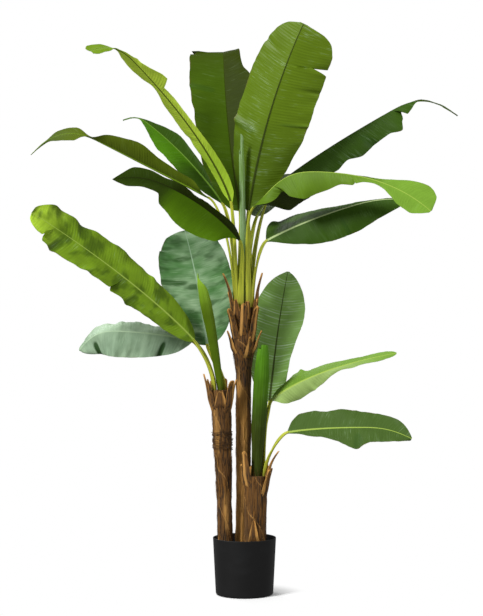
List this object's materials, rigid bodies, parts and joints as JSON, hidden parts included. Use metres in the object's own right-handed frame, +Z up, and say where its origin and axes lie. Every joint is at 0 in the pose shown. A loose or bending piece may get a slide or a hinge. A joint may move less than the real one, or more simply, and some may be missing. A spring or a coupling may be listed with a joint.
{
  "type": "artificial banana plant in a pot",
  "caption": "Artificial banana plant with fibre-wrapped trunks, cut sheath stubs, long leaf stalks and broad pleated leaves in a plain round pot.",
  "frame": {"origin": "centre of the pot's flat underside", "axes": "+Z up along the trunks, -Y towards the front of the plant, +X towards the side of the shortest trunk"},
  "size_m": [1.3632, 0.7517, 1.78],
  "materials": {
    "pot": "plain moulded black plastic, satin",
    "pot_fill": "dark cast fill with a rough top",
    "husk": "brown palm-fibre wrap with lighter dry strips, rough",
    "leaf_stalk": "yellow-green with olive lines, satin",
    "leaf_bright": "bright yellow-green pleated leaf, satin",
    "leaf_fresh": "fresh green pleated leaf, satin",
    "leaf_deep": "mid green pleated leaf, satin",
    "leaf_dark": "dark green pleated leaf, satin",
    "leaf_blue": "cool green leaf with a pale sheen, satin"
  },
  "bodies": {
    "root": {"pot": "pot", "pot_fill": "pot_fill", "trunk_top": "husk", "trunk_left": "husk", "trunk_right": "husk", "sheath_top_1": "husk", "sheath_top_2": "husk", "sheath_top_3": "husk", "sheath_top_4": "husk", "sheath_top_5": "husk", "sheath_top_6": "husk", "sheath_top_7": "husk", "sheath_left_1": "husk", "sheath_left_2": "husk", "sheath_left_3": "husk", "sheath_right_1": "husk", "sheath_right_2": "husk", "sheath_right_3": "husk", "stalk_top_upright_right": "leaf_stalk", "blade_top_upright_right": "leaf_bright", "stalk_top_upright_back": "leaf_stalk", "blade_top_upright_back": "leaf_deep", "stalk_top_left_high": "leaf_stalk", "blade_top_left_high": "leaf_bright", "stalk_top_left_long": "leaf_stalk", "blade_top_left_long": "leaf_dark", "stalk_top_left_back": "leaf_stalk", "blade_top_left_back": "leaf_deep", "stalk_top_left_front": "leaf_stalk", "blade_top_left_front": "leaf_deep", "stalk_top_right_long": "leaf_stalk", "blade_top_right_long": "leaf_dark", "stalk_top_right_back": "leaf_stalk", "blade_top_right_back": "leaf_deep", "stalk_top_right_front": "leaf_stalk", "blade_top_right_front": "leaf_fresh", "stalk_top_right_low": "leaf_stalk", "blade_top_right_low": "leaf_dark", "stalk_left_long": "leaf_stalk", "blade_left_long": "leaf_bright", "stalk_left_low": "leaf_stalk", "blade_left_low": "leaf_blue", "stalk_left_back": "leaf_stalk", "blade_left_back": "leaf_blue", "stalk_right_back": "leaf_stalk", "blade_right_back": "leaf_fresh", "stalk_right_middle": "leaf_stalk", "blade_right_middle": "leaf_fresh", "stalk_right_low": "leaf_stalk", "blade_right_low": "leaf_deep", "rolled_leaf_top": "leaf_fresh", "rolled_leaf_left": "leaf_fresh", "rolled_leaf_right": "leaf_fresh"}
  },
  "joints": []
}
